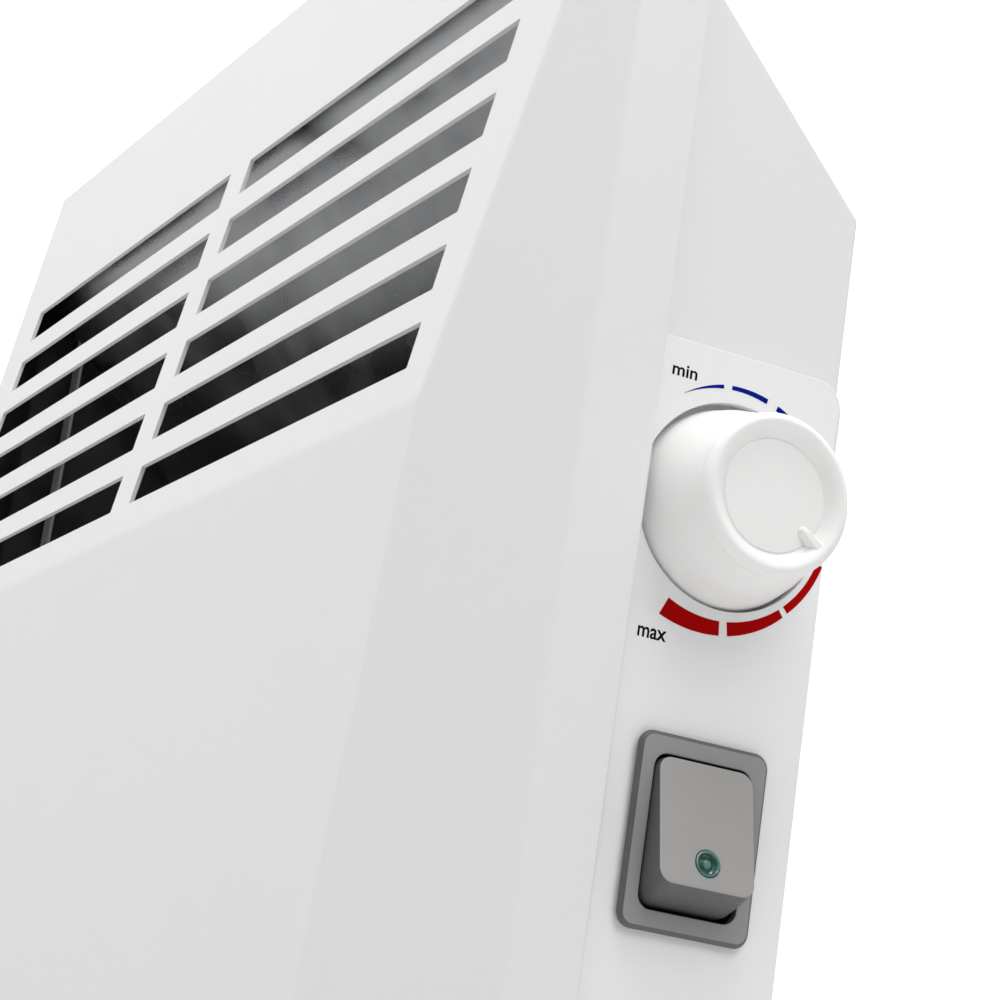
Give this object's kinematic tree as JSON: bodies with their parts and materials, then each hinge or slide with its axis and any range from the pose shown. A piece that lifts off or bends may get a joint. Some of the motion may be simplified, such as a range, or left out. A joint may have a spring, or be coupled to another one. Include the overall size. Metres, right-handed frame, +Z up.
{
  "type": "wall convector heater",
  "caption": "Wall-hung electric panel heater: slotted front over a finned element, with a thermostat knob and a lit rocker switch on its right side.",
  "frame": {"origin": "on the wall, at the middle of the wall rail's back face, level with the top of the control plate", "axes": "+X to the heater's right-hand side seen from the room, where the controls are; +Y into the wall; +Z up. The front faces -Y"},
  "size_m": [0.4655, 0.1198, 0.45],
  "materials": {
    "white_paint": "fine textured white powder coat, satin",
    "galvanised": "galvanised sheet, dull grey with a soft spangle",
    "aluminium": "plain mill finish",
    "steel": "plated spring and mild steel",
    "brass": "plain turned or stamped brass",
    "copper": "drawn copper tube",
    "white_plastic": "satin white moulded plastic",
    "grey_plastic": "satin warm grey moulded plastic",
    "black_plastic": "plain black moulded plastic",
    "green_lens": "green translucent lens",
    "lamp_glass": "clear small neon lamp",
    "ceramic": "unglazed ceramic",
    "lead_sleeve": "heat-proof woven sleeve"
  },
  "bodies": {
    "heater": {"air_guide": "galvanised", "cable_gland": "black_plastic", "capillary_tube": "copper", "clamp_screw_1": "brass", "clamp_screw_2": "brass", "clamp_screw_3": "brass", "control_plate": "white_paint", "cutout_bracket": "steel", "cutout_terminal_1": "brass", "cutout_terminal_2": "brass", "element_bracket_left": "steel", "element_bracket_right": "steel", "element_fins": "aluminium", "element_insulator_left": "ceramic", "element_insulator_right": "ceramic", "element_sheath": "steel", "element_stud_left": "steel", "element_stud_right": "steel", "front_panel": "white_paint", "gland_nut": "black_plastic", "heat_shield": "aluminium", "indicator_lamp": "lamp_glass", "inlet_grille": "galvanised", "lead_cutout": "lead_sleeve", "lead_neutral": "lead_sleeve", "lead_switch": "lead_sleeve", "lead_thermostat": "lead_sleeve", "panel_clip_lower_left": "steel", "panel_clip_lower_right": "steel", "panel_clip_upper_left": "steel", "panel_clip_upper_right": "steel", "rear_casing": "white_paint", "rocker_bezel": "grey_plastic", "rocker_housing": "black_plastic", "rocker_pin": "steel", "switch_terminal_1": "brass", "switch_terminal_2": "brass", "switch_terminal_3": "brass", "terminal_block": "white_plastic", "thermal_cutout": "black_plastic", "thermostat_body": "black_plastic", "thermostat_bulb": "copper", "thermostat_bushing": "brass", "thermostat_leaf": "brass", "thermostat_nut": "brass", "thermostat_terminal_1": "brass", "thermostat_terminal_2": "brass", "wall_clip": "galvanised", "wall_rail": "galvanised", "wall_spacer_left": "black_plastic", "wall_spacer_right": "black_plastic"},
    "knob": {"thermostat_knob": "white_plastic", "knob_clip": "steel", "thermostat_spindle": "brass"},
    "plunger": {"thermostat_plunger": "brass"},
    "rocker": {"rocker_button": "grey_plastic", "rocker_lens": "green_lens"},
    "latch": {"bracket_latch": "steel"}
  },
  "joints": [
    {"name": "knob_turn", "type": "hinge", "parent": "heater", "child": "knob", "pos_m": [0.22055, -0.0378, -0.0347], "axis": [1, 0, 0], "range_deg": [-86, 158]},
    {"name": "plunger_slide", "type": "slide", "parent": "heater", "child": "plunger", "axis": [1, 0, 0], "range_m": [-0.0003, 0.0005]},
    {"name": "rocker_tip", "type": "hinge", "parent": "heater", "child": "rocker", "pos_m": [0.21805, -0.0378, -0.1078], "axis": [0, 1, 0], "range_deg": [0, 28]},
    {"name": "latch_turn", "type": "hinge", "parent": "heater", "child": "latch", "pos_m": [-0.15, -0.024, -0.2941], "axis": [0, 0, 1], "range_deg": [0, 90]}
  ],
  "couplings": [
    {"joint": "plunger_slide", "follows": "knob_turn", "m_per_rad": 0.00018}
  ]
}
